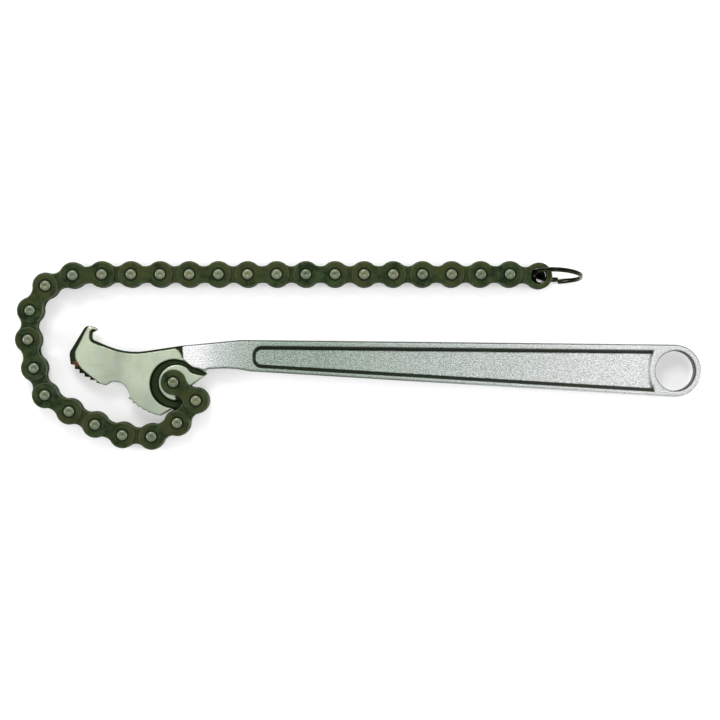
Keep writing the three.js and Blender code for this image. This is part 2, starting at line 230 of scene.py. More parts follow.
def rounded_outline(corners, degrees_per_step=6):
    """A closed outline from (x, y, radius) corners: a corner with a radius becomes an arc."""
    points = []
    for index, (x, y, radius) in enumerate(corners):
        corner = Vector((x, y))
        if not radius:
            points.append((x, y))
            continue
        before = (Vector(corners[index - 1][:2]) - corner).normalized()
        after = (Vector(corners[(index + 1) % len(corners)][:2]) - corner).normalized()
        half = math.acos(max(-1, min(1, before.dot(after)))) / 2
        centre = corner + (before + after).normalized() * radius / math.sin(half)
        start = corner + before * radius / math.tan(half) - centre
        end = corner + after * radius / math.tan(half) - centre
        turn = math.atan2(start.x * end.y - start.y * end.x, start.dot(end))
        steps = max(3, round(abs(math.degrees(turn)) / degrees_per_step))
        first = math.degrees(math.atan2(start.y, start.x))
        points += arc(centre, radius, first, first + math.degrees(turn), steps)
    return points


def resampled(points, spacing, closed=True):
    """Adds points along the long edges, so that no edge is longer than the spacing."""
    result = []
    following = points[1:] + points[:1] if closed else points[1:]
    for (x0, y0), (x1, y1) in zip(points, following):
        count = max(1, math.ceil(math.hypot(x1 - x0, y1 - y0) / spacing))
        result += [(x0 + (x1 - x0) * i / count, y0 + (y1 - y0) * i / count) for i in range(count)]
    return result if closed else result + [points[-1]]


def front_teeth():
    points = []
    x, y = FRONT_TOOTH_START
    for tooth in range(FRONT_TOOTH_COUNT):
        points.append((x, y, 0.15))
        x += FRONT_TREAD + FRONT_TREAD_GROWTH * tooth
        y -= FRONT_TREAD_DROP
        points.append((x, y, 0.15))
        y -= FRONT_RISER - FRONT_RISER_LOSS * tooth
    return points + [(x, y, 0.15)]


def heel_teeth():
    points = []
    step = math.degrees(HEEL_TOOTH_PITCH / HEEL_ARC_RADIUS)
    for tooth in range(HEEL_TOOTH_COUNT):
        tip_angle = HEEL_ARC_START + step * tooth
        depth = HEEL_TOOTH_DEPTH * (1 - tooth / HEEL_TOOTH_COUNT)
        tip = arc(HEEL_ARC_CENTRE, HEEL_ARC_RADIUS, tip_angle, tip_angle, 1)[0]
        root_angle = tip_angle + HEEL_TOOTH_RUN * step
        root = arc(HEEL_ARC_CENTRE, HEEL_ARC_RADIUS - depth, root_angle, root_angle, 1)[0]
        points += [(*tip, 0.2), (*root, 0.1)]
    return points


TOP_OF_HEAD = [(*NECK_TOP_LEFT, 0), (-25.8, 15.5, 38), (-44.5, 23.4, 2.2), (-44.2, 27.2, 0.9)]
HOOK_THROAT = (-43.4, 27.5)
HOOK = [(-39.9, 28.9, 0.9), (-47.8, 31.6, 3.5), (-57.3, 15.9, 5)]
LOBE_AND_NOTCH = [(-37.0, -1.9, 2.5), (-33.8, 0.15, 3), (-24.9, 0.15, 7.6)]
HEEL = [(-7.2, -18.4, 1.5), (-1.3, -14.9, 1), (2.0, -13.9, 0.8), (4.4, -10.3, 1.5)]
TIP = [(4.6, -5.5, 1.5), (7.6, -3.4, 0.5), (18.3, 4.4, 0.3)]


def end_tangent(start, side):
    """The angle at which a straight edge from start meets the round end of the handle."""
    rise = start[1] - (END_CENTRE[1] + side * END_RADIUS)
    return math.degrees(math.atan2(rise, END_CENTRE[0] - start[0]))


def silhouette():
    bottom_turn = end_tangent(HANDLE_BOTTOM_LEFT, -1)
    top_turn = end_tangent(HANDLE_TOP_LEFT, 1)
    end = arc(END_CENTRE, END_RADIUS, -90 - bottom_turn, 90 - top_turn, 48)
    corners = [
        *TOP_OF_HEAD, *HOOK, *front_teeth(), *LOBE_AND_NOTCH, *heel_teeth(), *HEEL, *TIP,
        (15.0, 7.0, 1.5), (32, 7.6, 50), (*HANDLE_BOTTOM_LEFT, 0),
        *[(x, y, 0) for x, y in end], (*HANDLE_TOP_LEFT, 30),
    ]
    return resampled(rounded_outline(corners), 1.6)


def neck_region():
    """The thicker part of the forging, from the head's step to beyond the handle's end."""
    return rounded_outline([
        (4.4, 40, 0), (4.4, 20.0, 0), (5.1, 12.4, 1), (8.5, 9.35, 4), (10.7, 7.9, 2), (14.6, 7.1, 2),
        (20, 5.5, 0), (19.6, -30, 0), (320, -30, 0), (320, 40, 0),
    ])


def nose_region():
    """The part of the head that stays flat: beyond it the nose is bevelled."""
    return rounded_outline([
        (-31.3, 60, 0), (-53.5, 16.6, 4), (-53.3, 12.6, 6), (-50.3, 7.6, 10), (-38.8, -1.6, 0),
        (-9.5, -60, 0), (320, -60, 0), (320, 60, 0),
    ])


def shaded_step_wedge():
    """Painted shade in a wedge at the foot of the neck, where the step meets the head."""
    return rounded_outline([
        (-0.6, 18.9, 0), (4.9, 20.4, 0), (5.6, 13.2, 0), (4.9, 12.8, 0), (4.0, 15.3, 3), (2.4, 17.4, 3),
    ])


def shaded_heel():
    """The heel beside the first link, dark down to the groove: unground scale, with the painted shadow
    of the links.
    """
    return [(1.1, -4), (1.1, -20), (9, -20), (9, -4)]


def panel_region():
    """The recessed panel's straight sides and left end, drawn on past its concave end."""
    end_x, end_y = END_CENTRE
    corners = []
    top = (1, HANDLE_TOP_LEFT, PANEL_TOP_RIM)
    bottom = (-1, HANDLE_BOTTOM_LEFT, PANEL_BOTTOM_RIM)
    for side, start, rim in (top, bottom):
        slope = (end_y + side * END_RADIUS - start[1]) / (end_x - start[0])
        pair = [(x, start[1] + slope * (x - start[0]) - side * rim) for x in (end_x, PANEL_LEFT)]
        corners += [(*pair[0], 0), (*pair[1], PANEL_CORNER_RADIUS)][::side]
    return rounded_outline(corners)


# ------------------------------------------------------------------ distances in plan


def distance_to(points, line, closed=True):
    """Each point's distance to a line of straight stretches, and how far along it that is."""
    line = np.array(line, dtype=float)
    starts = line if closed else line[:-1]
    ends = np.roll(line, -1, axis=0) if closed else line[1:]
    along = ends - starts
    length = np.maximum((along ** 2).sum(axis=1), 1e-12)
    best = np.full(len(points), np.inf)
    place = np.zeros(len(points))
    for index in range(len(starts)):
        offset = points - starts[index]
        share = np.clip(offset @ along[index] / length[index], 0, 1)
        gap = np.hypot(*(offset - share[:, None] * along[index]).T)
        nearer = gap < best
        best[nearer] = gap[nearer]
        place[nearer] = index + share[nearer]
    return best, place


def inside(points, outline):
    line = np.array(outline, dtype=float)
    following = np.roll(line, -1, axis=0)
    result = np.zeros(len(points), dtype=bool)
    for (x0, y0), (x1, y1) in zip(line, following):
        if y0 == y1:
            continue
        crosses = (points[:, 1] > y0) != (points[:, 1] > y1)
        at = x0 + (points[:, 1] - y0) * (x1 - x0) / (y1 - y0)
        result ^= crosses & (points[:, 0] < at)
    return result


def signed_distance(points, outline):
    distance, _ = distance_to(points, outline)
    return np.where(inside(points, outline), distance, -distance)


def smooth(values, low, high):
    share = np.clip((values - low) / (high - low), 0, 1)
    return share * share * (3 - 2 * share)


# ------------------------------------------------------------------ forging


class Forging:
    """The forging's faces as a height over the plan, with where it is dark or ground."""

    def __init__(self):
        self.outline = silhouette()
        self.hole = arc(END_CENTRE, HANGING_HOLE_RADIUS, 0, 357, 119)
        self.bore = arc((0, 0), ANCHOR_BORE_RADIUS, 0, 350, 35)
        self.neck = neck_region()
        self.panel = panel_region()
        self.nose = nose_region()
        self.shaded_patches = (shaded_step_wedge(), shaded_heel())
        self.top_line = self.part_of_outline(NECK_TOP_LEFT, HOOK_THROAT)
        self.groove_line, self.groove_widths = self.groove()

    def part_of_outline(self, start, end):
        """The stretch of the silhouette between the points nearest to start and end."""
        line = np.array(self.outline)
        first = int(np.argmin(np.hypot(*(line - start).T)))
        last = int(np.argmin(np.hypot(*(line - end).T)))
        if last < first:
            last += len(line)
        return [self.outline[i % len(line)] for i in range(first, last + 1)]

    def groove(self):
        """The groove's middle line and half widths: between two circles, then along the neck."""
        outer, inner = np.array(GROOVE_OUTER_CENTRE), np.array(GROOVE_INNER_CENTRE)
        line, widths = [], []
        for angle in np.radians(np.linspace(*GROOVE_ANGLES, 66)):
            ray = np.array((math.cos(angle), math.sin(angle)))
            along = (inner - outer) @ ray
            across_squared = (inner - outer) @ (inner - outer) - along ** 2
            near = along + math.sqrt(GROOVE_INNER_RADIUS ** 2 - across_squared)
            line.append(tuple(outer + ray * (GROOVE_OUTER_RADIUS + near) / 2))
            widths.append((GROOVE_OUTER_RADIUS - near) / 2)
        return line + list(GROOVE_RUN_OUT), np.array(widths + list(GROOVE_RUN_OUT_WIDTHS))

    def heights(self, points):
        """Height above the middle plane, and the dark, ground, bright and rusty shares; the dark share
        holds scale and painted shade, the bright share the handle's painted sheen.
        """
        x, y = points.T
        neck = signed_distance(points, self.neck)
        panel = signed_distance(points, self.panel)
        nose = signed_distance(points, self.nose)
        shaded_patches = np.maximum(*[signed_distance(points, patch) for patch in self.shaded_patches])
        to_edge, _ = distance_to(points, self.outline)
        to_hole = np.hypot(*(points - END_CENTRE).T) - HANGING_HOLE_RADIUS
        to_end_wall = np.hypot(*(points - PANEL_END_CENTRE).T) - PANEL_END_RADIUS
        to_top, _ = distance_to(points, self.top_line, closed=False)
        to_groove, place = distance_to(points, self.groove_line, closed=False)
        width = np.interp(place, np.arange(len(self.groove_widths)), self.groove_widths)

        head = NOSE_HALF + (HEAD_HALF - NOSE_HALF) * smooth(x, TAPER_END_X - 2, TAPER_START_X + 2)
        raised = smooth(neck, -0.3, 0.7)
        height = head + (HANDLE_HALF - head) * raised

        groove = (1 - smooth(to_groove / width, 0.55, 1.0)) * (1 - smooth(neck, -0.6, 0.6))
        height -= GROOVE_DEPTH * groove
        wall = smooth(panel, 0, PANEL_WALL_WIDTH) * smooth(to_end_wall, 0, PANEL_WALL_WIDTH)
        height -= PANEL_DEPTH * wall
        height -= NOSE_BEVEL_DEPTH * np.clip(-nose / NOSE_BEVEL_WIDTH, 0, 1.2)
        in_hook = 1 - smooth(x, -41, -37)
        top_width = TOP_BEVEL_WIDTH + (HOOK_BEVEL_WIDTH - TOP_BEVEL_WIDTH) * in_hook
        height -= TOP_BEVEL_DEPTH * np.clip(1 - to_top / top_width, 0, 1)

        edge = np.clip(np.minimum(to_edge - DRAFT, to_hole - 0.02) / EDGE_RADIUS, 0, 1)
        sharp = (1 - raised) * 0.75
        rounding = EDGE_RADIUS * (1 - np.sqrt(1 - (1 - edge) ** 2))
        height -= rounding * (1 - sharp)

        dark_groove = (1 - smooth(to_groove / width, 0.9, 1.1)) * (1 - smooth(neck, -0.3, 0.3))
        # Painted shade on the recessed panel's sloping walls, left light at its concave end.
        beyond_left = smooth(x, PANEL_LEFT + 1, PANEL_LEFT + 5)
        band = LEFT_BAND_WIDTH + (PANEL_WALL_WIDTH - LEFT_BAND_WIDTH) * beyond_left
        dark_wall = smooth(panel, -0.1, 0.25) * (1 - smooth(panel, band - 0.1, band + 0.25)) * 0.93
        dark_wall *= smooth(to_end_wall, 0.2, 1.2)
        # Painted shade on the nose bevel and along the bevelled top of the head and hook.
        dark_nose = 1 - smooth(nose, -0.35, 0.15)
        dark_top = 1 - smooth(to_top, top_width - 0.2, top_width + 0.15)
        # Painted shade at the neck's step, and the links' painted shadow on the heel.
        patch_shade = smooth(shaded_patches, -0.25, 0.25)
        # Painted shade round the right side of the hanging hole.
        right_of_hole = smooth(x, END_CENTRE[0] - 4, END_CENTRE[0] + 5)
        dark_hole = 0.85 * right_of_hole * (1 - smooth(to_hole, 0.5, 0.9))
        # Painted shade along the handle's top rim, and along its lower rim towards the head.
        lower_rim = 1 - smooth(x, 120, 200)
        on_rim = np.where(y > END_CENTRE[1], 1, lower_rim) * raised
        dark_rim = 0.8 * on_rim * (1 - smooth(to_edge, 0.45, 0.8))
        dark = np.maximum.reduce([
            dark_groove, dark_wall, dark_nose, dark_top, patch_shade, dark_hole, dark_rim,
        ])
        ground = 1 - smooth(neck, -0.2, 0.2)
        # Painted sheen along the handle, strongest at the neck.
        painted_sheen = np.interp(x, *zip(*PAINTED_SHEEN_ALONG))
        bright = np.where(ground > 0.5, smooth(y, *HEEL_FADE), painted_sheen)
        rusty = 1 - smooth(np.hypot(*(points - RUST_CENTRE).T), *RUST_FADE)
        return height, dark, ground, bright, rusty


def ring_points(line, offsets, spacing, closed=True):
    """Points beside a line at each offset to its left and right, kept if nothing is nearer."""
    line = np.array(resampled(line, spacing, closed), dtype=float)
    before = np.roll(line, 1, axis=0) if closed else np.vstack([line[:1], line[:-1]])
    after = np.roll(line, -1, axis=0) if closed else np.vstack([line[1:], line[-1:]])
    along = after - before
    along /= np.maximum(np.hypot(*along.T), 1e-9)[:, None]
    across = np.stack([-along[:, 1], along[:, 0]], axis=1)
    kept = []
    for offset in offsets:
        moved = line + across * offset
        distance, _ = distance_to(moved, line, closed)
        kept.append(moved[distance > 0.93 * abs(offset)])
    return np.vstack(kept)


def thinned(points, size):
    """One point for each square of that size, so that none lie too close together."""
    squares = np.floor(points / size).astype(int)
    _, first = np.unique(squares, axis=0, return_index=True)
    return points[np.sort(first)]


def face_points(forging):
    """Where the faces need vertices: close together beside every line, sparse elsewhere."""
    rim = [0.45, 0.7, 0.95, 1.25, 1.6, 2.1, 2.7, 3.2, 4.0]
    step = [0.0, 0.3, 0.6, 0.9, 1.3]
    wall = [0.0, 0.25, 0.55, 0.9, 1.2, 1.5, 1.8, 2.0, 2.2, 2.4, 2.7]

    def both(offsets):
        return offsets + [-offset for offset in offsets]

    clouds = [
        ring_points(forging.outline, both(rim), 0.8),
        ring_points(forging.panel, both(wall), 1.2),
        ring_points(forging.neck, both(step), 0.7),
        ring_points(forging.nose, both(step), 0.7),
        ring_points(forging.hole, both(rim[:6]), 0.8),
        ring_points(forging.groove_line, [0.5 * i for i in range(-6, 7)], 0.7, False),
    ]
    for offset in np.linspace(-0.5, PANEL_WALL_WIDTH + 0.5, 12):
        clouds.append(np.array(arc(PANEL_END_CENTRE, PANEL_END_RADIUS + offset, 150, 210, 40)))
    for (x0, x1), (y0, y1), size in (((-58, 22), (-20, 34), 0.9), ((5, 290), (-10, 26), 2.2)):
        xs, ys = np.meshgrid(np.arange(x0, x1, size), np.arange(y0, y1, size))
        clouds.append(np.stack([xs.ravel(), ys.ravel()], axis=1))
    return np.vstack(clouds)


def inset_loop(outline, amount):
    """The outline moved inwards (to its left) by amount, point by point."""
    line = np.array(outline)
    along = np.roll(line, -1, axis=0) - np.roll(line, 1, axis=0)
    along /= np.hypot(*along.T)[:, None]
    return line + amount * np.stack([-along[:, 1], along[:, 0]], axis=1)


def flash_line(outline):
    """The parting line round the outside, which bulges between the chain's plates at the heel."""
    line = np.array(outline)
    x, y = line.T
    bulge = smooth(x, -1.2, 0.2) * (1 - smooth(x, 4.8, 5.2)) * (1 - smooth(y, -7.5, -6))
    return line - (inset_loop(outline, 1) - line) * (HEEL_BULGE * bulge)[:, None]


def build_forging(material):
    forging = Forging()
    outline = forging.outline
    area = sum(a[0] * b[1] - b[0] * a[1] for a, b in zip(outline, outline[1:] + outline[:1]))
    if area < 0:
        outline = outline[::-1]
    rim = inset_loop(outline, DRAFT)
    loops = [rim, np.array(forging.hole)[::-1], np.array(forging.bore)[::-1]]

    cloud = face_points(forging)
    within = inside(cloud, rim) & ~inside(cloud, forging.hole) & ~inside(cloud, forging.bore)
    cloud = cloud[within]
    clearance = np.min([distance_to(cloud, loop)[0] for loop in loops], axis=0)
    cloud = thinned(cloud[clearance > 0.15], 0.28)

    edges = []
    start = 0
    for loop in loops:
        count = len(loop)
        edges += [(start + i, start + (i + 1) % count) for i in range(count)]
        start += count
    inputs = [Vector(point) for point in np.vstack([*loops, cloud])]
    corners, _, triangles, origins, _, _ = delaunay_2d_cdt(inputs, edges, [], 0, 1e-5)
    plan = np.array([(corner.x, corner.y) for corner in corners])
    triangles = np.array([list(triangle) for triangle in triangles])
    middles = plan[triangles].mean(axis=1)
    solid = inside(middles, rim) & ~inside(middles, forging.hole) & ~inside(middles, forging.bore)
    triangles = triangles[solid]

    height, dark, ground, bright, rusty = forging.heights(plan)
    count = len(plan)
    top = np.column_stack([plan, height])
    bottom = np.column_stack([plan, -height])
    where = {}
    for index, sources in enumerate(origins):
        for source in sources:
            where[source] = index
    faces = [tuple(t) for t in triangles] + [tuple(count + t[::-1]) for t in triangles]
    vertices = [top, bottom]
    darks = [dark, dark]
    grounds = [ground, ground]
    brights = [bright, bright]
    rusts = [rusty, rusty * 0]
    total = 2 * count
    start = 0
    for number, loop in enumerate(loops):
        size = len(loop)
        ids = [where[start + i] for i in range(size)]
        middle = flash_line(outline) if number == 0 else np.array(loop)
        rows = [np.array(ids)]
        for share in (0.6, 0.0, -0.6):
            spread = abs(share)
            row_plan = middle * (1 - spread) + plan[ids] * spread
            vertices.append(np.column_stack([row_plan, height[ids] * share]))
            # Upright sides: darkened as unplated forging and as painted shade.
            side_dark = SIDE_DARKNESS[number] + GROUND_SIDE_DARKNESS * ground[ids]
            darks.append(np.minimum(np.maximum(dark[ids], side_dark), 1))
            brights.append(bright[ids])
            rusts.append(rusty[ids] * 0)
            grounds.append(ground[ids] * 0)
            rows.append(total + np.arange(size))
            total += size
        rows.append(count + np.array(ids))
        for upper, lower in zip(rows[:-1], rows[1:]):
            for i in range(size):
                j = (i + 1) % size
                faces.append((upper[i], lower[i], lower[j], upper[j]))
        start += size
    made = make_piece("wrench_forging", placed(np.vstack(vertices)), faces, [material])
    set_attribute(made, "dark", np.concatenate(darks))
    set_attribute(made, "ground", np.concatenate(grounds))
    set_attribute(made, "bright", np.concatenate(brights))
    set_attribute(made, "rusty", np.concatenate(rusts))
    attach(made, "handle")
    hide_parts("wrench_handle")


# ------------------------------------------------------------------ mesh helpers


def make_piece(name, vertices, faces, materials, material_of_face=None):
    mesh = bpy.data.meshes.new(name)
    mesh.from_pydata([tuple(v) for v in vertices], [], [tuple(int(i) for i in f) for f in faces])
    mesh.validate()
    mesh.shade_smooth()
    for material in materials:
        mesh.materials.append(material)
    if material_of_face is not None:
        mesh.polygons.foreach_set("material_index", material_of_face)
    piece = bpy.data.objects.new(name, mesh)
    bpy.context.scene.collection.objects.link(piece)
    return piece


def set_attribute(piece, name, values):
    layer = piece.data.attributes.new(name, "FLOAT", "POINT")
    layer.data.foreach_set("value", np.asarray(values, dtype=np.float32))


class Shape:
    """Vertices, faces, a material number for each face and a share of edge wear and painted glint for
    each vertex.
    """

    def __init__(self):
        self.vertices = []
        self.faces = []
        self.slots = []
        self.wear_and_glint = []

    def add(self, vertices, faces, slot=0, wear_and_glint=None):
        start = len(self.vertices)
        self.vertices += [tuple(v) for v in vertices]
        self.faces += [tuple(start + i for i in face) for face in faces]
        self.slots += [slot] * len(faces)
        self.wear_and_glint += list(wear_and_glint) if wear_and_glint is not None else [0.0] * len(vertices)

    def rings(self, loops, slot=0, wear_and_glint=None, closed=False):
        """Walls between successive loops of equal length; closed joins the last to the first."""
        size = len(loops[0])
        pairs = list(zip(range(len(loops) - 1), range(1, len(loops))))
        if closed:
            pairs.append((len(loops) - 1, 0))
        faces = []
        for a, b in pairs:
            for i in range(size):
                j = (i + 1) % size
                faces.append((a * size + i, a * size + j, b * size + j, b * size + i))
        worn_glint = None if wear_and_glint is None else [w for w in wear_and_glint for _ in range(size)]
        self.add([v for loop in loops for v in loop], faces, slot, worn_glint)

    def lathe(self, centre_x, profile, slot, wear_and_glint, closed=True):
        """A turned solid about a vertical axis: the profile is (radius, height) pairs."""
        angles = [2 * math.pi * i / TURNED_SEGMENTS for i in range(TURNED_SEGMENTS)]
        loops = [
            [(centre_x + r * math.cos(a), r * math.sin(a), z) for a in angles] for r, z in profile
        ]
        self.rings(loops, slot, wear_and_glint, closed)
        if not closed:
            self.cap(loops[0], slot, False)
            self.cap(loops[-1], slot, True)

    def cap(self, loop, slot, up):
        order = range(len(loop)) if up else reversed(range(len(loop)))
        self.add(loop, [tuple(order)], slot)

    def piece(self, name, body, materials, origin, heading, slot, nodes=()):
        points = placed(self.vertices, origin, heading)
        made = make_piece(name, points, self.faces, materials, self.slots)
        set_attribute(made, "wear_and_glint", self.wear_and_glint)
        set_attribute(made, "along", [x for x, y, z in self.vertices])
        set_attribute(made, "across", [y for x, y, z in self.vertices])
        weld(made)
        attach(made, body)
        if nodes:
            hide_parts(*nodes)


def weld(piece):
    mesh = bmesh.new()
    mesh.from_mesh(piece.data)
    bmesh.ops.remove_doubles(mesh, verts=mesh.verts, dist=1e-7)
    bmesh.ops.recalc_face_normals(mesh, faces=mesh.faces)
    mesh.to_mesh(piece.data)
    mesh.free()


# ------------------------------------------------------------------ chain


def plate_loop(end_radius, length, inset):
    """A figure-of-eight plate outline, counter-clockwise, moved inwards by inset."""
    half = length / 2
    waist_half = PLATE_WAIST / 2
    waist_radius = half ** 2 + waist_half ** 2 - end_radius ** 2
    waist_radius /= 2 * (end_radius - waist_half)
    waist_centre = waist_half + waist_radius
    touch = math.degrees(math.atan2(waist_centre, half))
    end, neck = end_radius - inset, waist_radius + inset
    left = arc((0, 0), end, touch, 360 - touch, PLATE_END_STEPS)
    lower = arc((half, -waist_centre), neck, 180 - touch, touch, PLATE_WAIST_STEPS)[1:-1]
    right = arc((length, 0), end, touch - 180, 180 - touch, PLATE_END_STEPS)
    upper = arc((half, waist_centre), neck, -touch, touch - 180, PLATE_WAIST_STEPS)[1:-1]
    return left + lower + right + upper


def add_plate(shape, end_radius, length, bottom, hole_radii):
    """A stamped plate: rounded rims, and holes with a small countersink."""
    top = bottom + PLATE_THICKNESS
    edge, chamfer = PLATE_EDGE, PLATE_COUNTERSINK
    quarter = [math.radians(a) for a in (0, 30, 60, 90)]
    upper = [(edge * (1 - math.cos(a)), top - edge * (1 - math.sin(a))) for a in quarter]
    lower = [(inset, bottom + top - z) for inset, z in reversed(upper)]
    profile = [(edge + 0.5, bottom)] + lower + upper + [(edge + 0.5, top)]
    loops = []
    for inset, z in profile:
        loops.append([(x, y, z) for x, y in plate_loop(end_radius, length, inset)])
    # The rims get the wear share, which also paints a glint on them.
    wear_and_glint = [0, 0.2, 0.8, 1, 0.4, 0.4, 1, 0.8, 0.2, 0]
    shape.rings(loops, 0, wear_and_glint)
    hole_loops = []
    for index, radius in enumerate(hole_radii):
        centre = (index * length, 0)
        rim = radius + chamfer
        sizes = [(rim + 0.3, bottom), (rim, bottom), (radius, bottom + chamfer)]
        sizes += [(radius, top - chamfer), (rim, top), (rim + 0.3, top)]
        rows = [[(x, y, z) for x, y in arc(centre, r, 0, 350, 35)] for r, z in sizes]
        shape.rings(rows, 0, [0, 0.5, 0, 0, 0.5, 0])
        hole_loops.append(rows)
    for level, pick in ((bottom, 0), (top, -1)):
        flat = [[(x, y) for x, y, _ in loops[pick]]]
        flat += [[(x, y) for x, y, _ in rows[pick]] for rows in hole_loops]
        fill_flat(shape, flat, level, up=pick == -1)


def fill_flat(shape, loops, z, up):
    """Triangles between an outer loop and the holes in it."""
    edges = []
    start = 0
    for loop in loops:
        edges += [(start + i, start + (i + 1) % len(loop)) for i in range(len(loop))]
        start += len(loop)
    points = [Vector(point) for loop in loops for point in loop]
    corners, _, triangles, _, _, _ = delaunay_2d_cdt(points, edges, [], 0, 1e-6)
    plan = np.array([(c.x, c.y) for c in corners])
    middles = np.array([plan[list(t)].mean(axis=0) for t in triangles])
    keep = inside(middles, loops[0])
    for hole in loops[1:]:
        keep &= ~inside(middles, hole)
    faces = [tuple(t) if up else tuple(reversed(t)) for t, kept in zip(triangles, keep) if kept]
    shape.add([(x, y, z) for x, y in plan], faces)


def add_pin(shape, x, slot):
    """A riveted pin: a shank, and at each end a spun head with a shallow dimple."""
    top = PIN_HALF_LENGTH
    head = PIN_HEAD_RADIUS
    seat = OUTER_PLATE_BOTTOM + PLATE_THICKNESS
    end = [
        (PIN_RADIUS, seat - 0.3), (head - 0.05, seat - 0.05), (head, seat + 0.25),
        (head - 0.12, seat + 0.5), (head - 0.45, top - 0.12), (head - 0.9, top),
        (0.9, top - 0.02), (0.6, top - 0.12), (0.05, top - 0.16),
    ]
    wear_and_glint = [0, 0, 0.3, 0.9, 1, 0.5, 0.2, 0, 0]
    profile = [(r, -z) for r, z in reversed(end)] + end
    shape.lathe(x, profile, slot, list(reversed(wear_and_glint)) + wear_and_glint, closed=False)


def add_tube(shape, x, outer, inner, half, edge):
    """A tube about the middle plane, with its rims bevelled by edge."""
    profile = [
        (inner, -half + edge), (inner + edge, -half), (outer - edge, -half), (outer, -half + edge),
        (outer, half - edge), (outer - edge, half), (inner + edge, half), (inner, half - edge),
    ]
    shape.lathe(x, profile, 0, [0, 0.4, 0.6, 0.3, 0.3, 0.6, 0.4, 0])


def build_link(index, body, materials):
    """One chain link: two plates with their pins or bushings, and the rollers of an inner link."""
    start, end = PINS[index], PINS[index + 1]
    step = end - start
    heading = math.atan2(step.y, step.x)
    length = step.length / MM
    number = index // 2 + 1
    is_outer = index % 2 == 0
    kind = "outer" if is_outer else "inner"
    is_last = body == LINK_BODIES[-1]
    radius = OUTER_END_RADIUS if is_outer else INNER_END_RADIUS
    bottom = OUTER_PLATE_BOTTOM if is_outer else INNER_PLATE_BOTTOM
    hole = (PIN_RADIUS if is_outer else BUSHING_RADIUS) + HAIRLINE
    lower_far, upper_far = hole, hole
    if is_last:
        lower_far, upper_far = LOWER_RING_HOLE_RADIUS, RING_HOLE_RADIUS
    lower, upper = Shape(), Shape()
    add_plate(lower, radius, length, -bottom - PLATE_THICKNESS, [hole, lower_far])
    add_plate(upper, radius, length, bottom, [hole, upper_far])
    places = [0] if is_last else [0, length]
    lower_node = f"{kind}_link_{number}_" + ("pinned_plate" if is_outer else "bushed_plate")
    upper_node = f"{kind}_link_{number}_" + ("cover_plate" if is_outer else "plate")
    for x in places:
        if is_outer and (index > 0 or x > 0):
            add_pin(lower, x, 1)
        if not is_outer:
            tube_half = INNER_PLATE_BOTTOM + PLATE_THICKNESS
            add_tube(lower, x, BUSHING_RADIUS, BUSHING_BORE_RADIUS, tube_half, 0.15)
    both = [materials["plate"], materials["pin"]]
    name = f"{kind}_link_{number:02d}"
    lower.piece(name + "_lower", body, both, start, heading, "plate_steel", [lower_node])
    upper.piece(name + "_upper", body, both, start, heading, "plate_steel", [upper_node])
    if index == 0:
        anchor = Shape()
        add_pin(anchor, 0, 1)
        anchor.piece("anchor_rivet", body, both, start, heading, "pin_steel", ["anchor_pin"])
    if not is_outer:
        for place, x in enumerate(places):
            roller = Shape()
            add_tube(roller, x, ROLLER_RADIUS, BUSHING_RADIUS + 0.06, ROLLER_HALF_LENGTH, 0.35)
            roller_name = f"roller_{number:02d}" + "ab"[place]
            roller.piece(roller_name, body, [materials["roller"]], start, heading, "pin_steel")
    if is_last:
        sleeve = Shape()
        add_tube(sleeve, length, ROLLER_RADIUS, RING_HOLE_RADIUS + 0.05, ROLLER_HALF_LENGTH, 0.15)
        sleeve.piece("end_sleeve", body, [materials["roller"]], start, heading, "pin_steel")


# ------------------------------------------------------------------ split ring


def build_ring(material, shade_washer_material):
    """Two coils of oval wire in the plane of the CAD ring, and a dark washer low in the last hole as
    painted shade.
    """
    low, high = (Vector(corner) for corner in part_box("tail_ring"))
    centre = (low + high) / 2
    turn, lean = math.radians(RING_TURN), math.radians(RING_LEAN)
    along = Vector((math.cos(turn), math.sin(turn), 0))
    level = Vector((-math.sin(turn), math.cos(turn), 0))
    upward = level * math.sin(lean) + Vector((0, 0, math.cos(lean)))
    across = along.cross(upward)
    section = []
    for k in range(RING_SECTION_SIDES):
        angle = 2 * math.pi * (k + 0.5) / RING_SECTION_SIDES
        radial, axial = math.cos(angle), math.sin(angle)
        section.append((radial * RING_WIRE_RADIAL / 2, axial * RING_WIRE_AXIAL / 2))
    loops = []
    for i in range(RING_STEPS + 1):
        share = i / RING_STEPS
        angle = math.radians(RING_CUT_ANGLE + 720 * share)
        # Each coil lies flat; halfway along, the wire changes sides between its own two cut
        # ends, which it springs outwards.
        settled = smooth(share, *RING_SETTLING)
        crossed = smooth(share, *RING_CROSSING)
        sprung = smooth(share, *RING_SPRINGING)
        shift = crossed - 0.5 - RING_END_SPRING * (1 - settled) + RING_END_SPRING * sprung
        outward = along * math.cos(angle) + upward * math.sin(angle)
        loops.append([
            centre + (outward * (RING_RADIUS + r) - across * (shift * RING_WIRE_AXIAL + a)) * MM
            for r, a in section
        ])
    shape = Shape()
    shape.rings(loops)
    shape.cap(loops[0], 0, False)
    shape.cap(loops[-1], 0, True)
    made = make_piece("split_ring", shape.vertices, shape.faces, [material])
    set_attribute(made, "wear_and_glint", [0.0] * len(shape.vertices))
    weld(made)
    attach(made, "tail_ring")
    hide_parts("tail_ring")
    turns = [2 * math.pi * i / WASHER_SEGMENTS for i in range(WASHER_SEGMENTS)]
    rim = (0, 0, WASHER_RADIUS)
    corners = (
        (rim, WASHER_BOTTOM), (rim, WASHER_TOP), (WASHER_BORE, WASHER_TOP), (WASHER_BORE, WASHER_BOTTOM),
    )
    washer = Shape()
    washer.rings([
        [(x + r * math.cos(a), y + r * math.sin(a), z) for a in turns] for (x, y, r), z in corners
    ], closed=True)
    washer.piece("ring_shade_washer", "tail_ring", [shade_washer_material], PINS[-1], 0, "ring_steel")


# ------------------------------------------------------------------ materials


